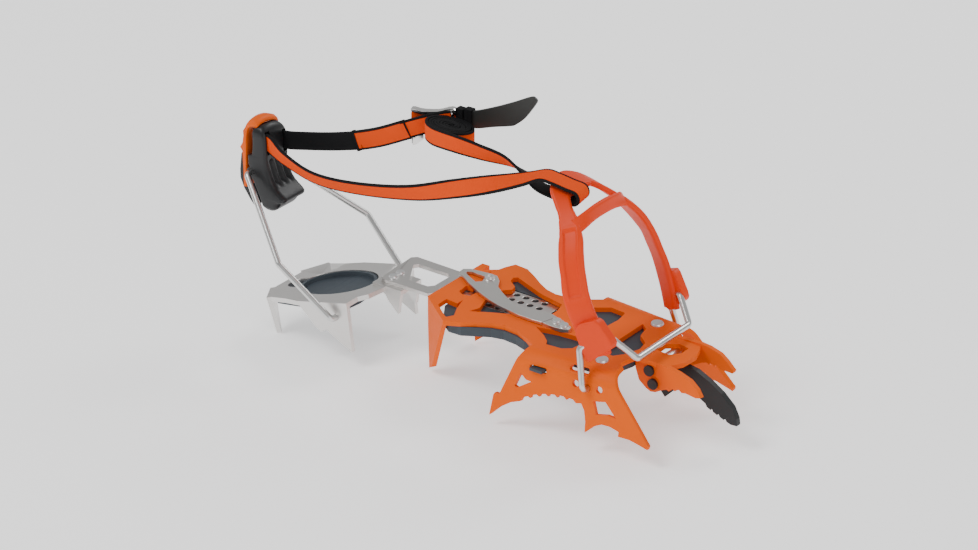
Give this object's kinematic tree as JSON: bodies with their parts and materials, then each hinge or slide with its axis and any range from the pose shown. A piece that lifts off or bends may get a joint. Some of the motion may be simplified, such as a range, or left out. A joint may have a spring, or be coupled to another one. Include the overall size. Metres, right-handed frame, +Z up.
{
  "type": "crampon",
  "caption": "Hinged mountaineering crampon: spiked orange front unit, steel heel unit on a perforated bar, wire bails, toe harness, heel lever and ankle strap.",
  "frame": {"origin": "centre of the assembly's footprint, at the level of the lowest spike tips", "axes": "+X to the toe along the sole, +Y to the inner side, +Z up from the ground to the boot"},
  "size_m": [0.3514, 0.1206, 0.181],
  "materials": {
    "frame_orange": "satin orange coat on punched steel",
    "antiball": "dark blue-grey flexible plate",
    "point_steel": "black coated forged steel",
    "fastener": "plain zinc",
    "lock_steel": "satin spring steel",
    "bar_steel": "satin steel",
    "heel_steel": "satin steel",
    "wire": "polished wire",
    "harness_orange": "moulded red-orange",
    "lever_black": "moulded black",
    "latch_orange": "moulded orange",
    "webbing_orange": "ribbed webbing with black edges",
    "webbing_black": "ribbed black webbing",
    "tail_rubber": "soft dark tail",
    "buckle_chrome": "bright"
  },
  "bodies": {
    "front_unit": {"front_frame": "frame_orange", "front_antiball": "antiball", "front_point": "point_steel", "point_bolts": "fastener", "point_nuts": "fastener", "point_spacers": "fastener", "deck_rivets": "fastener", "lever_foot": "lock_steel", "lever_rivets": "fastener", "bar_guide": "lock_steel"},
    "heel_unit": {"linking_bar": "bar_steel", "bar_rivets": "fastener", "heel_frame": "heel_steel", "heel_antiball": "antiball"},
    "lock_arm": {"lock_lever": "lock_steel", "lock_pin": "fastener"},
    "front_wire": {"front_bail": "wire"},
    "harness": {"toe_harness": "harness_orange", "strap_near_run": "webbing_orange", "strap_loop": "webbing_orange", "strap_far_run": "webbing_orange", "strap_coil": "webbing_orange", "strap_black": "webbing_black", "strap_sleeve": "webbing_orange", "strap_buckle_end": "webbing_orange", "strap_tail": "tail_rubber", "strap_keeper": "webbing_black", "buckle_frame": "buckle_chrome", "buckle_lever": "buckle_chrome", "buckle_pin": "fastener"},
    "heel_wire": {"heel_bail": "wire"},
    "heel_lever": {"heel_lever_body": "lever_black", "heel_lever_latch": "latch_orange", "heel_lever_tail": "lever_black"}
  },
  "joints": [
    {"name": "size_slide", "type": "slide", "parent": "front_unit", "child": "heel_unit", "axis": [1, 0, 0], "range_m": [-0.007, 0]},
    {"name": "lock_lever_lift", "type": "hinge", "parent": "front_unit", "child": "lock_arm", "pos_m": [0.0459, -0.00634, 0.05315], "axis": [0.2717, 0.9624, 0], "range_deg": [0, 8], "stiffness_Nm_per_rad": 0.8, "springref_deg": -2.86},
    {"name": "front_bail_swing", "type": "hinge", "parent": "front_unit", "child": "front_wire", "pos_m": [0.1001, 0.00186, 0.03935], "axis": [0, 1, 0], "range_deg": [-13.5, 3]},
    {"name": "harness_tilt", "type": "hinge", "parent": "front_wire", "child": "harness", "pos_m": [0.1043, 0.00186, 0.06885], "axis": [0, 1, 0], "range_deg": [-3, 12.2]},
    {"name": "heel_bail_swing", "type": "hinge", "parent": "heel_unit", "child": "heel_wire", "pos_m": [-0.08668, -0.01364, 0.03169], "axis": [0, 1, 0], "range_deg": [-5.9, 1.5]},
    {"name": "heel_lever_tilt", "type": "hinge", "parent": "heel_wire", "child": "heel_lever", "pos_m": [-0.1646, -0.02064, 0.10335], "axis": [0, 1, 0], "range_deg": [-3, 3]}
  ],
  "couplings": [
    {"joint": "harness_tilt", "follows": "front_bail_swing", "ratio": -0.875},
    {"joint": "heel_bail_swing", "follows": "front_bail_swing", "ratio": 0.42}
  ]
}
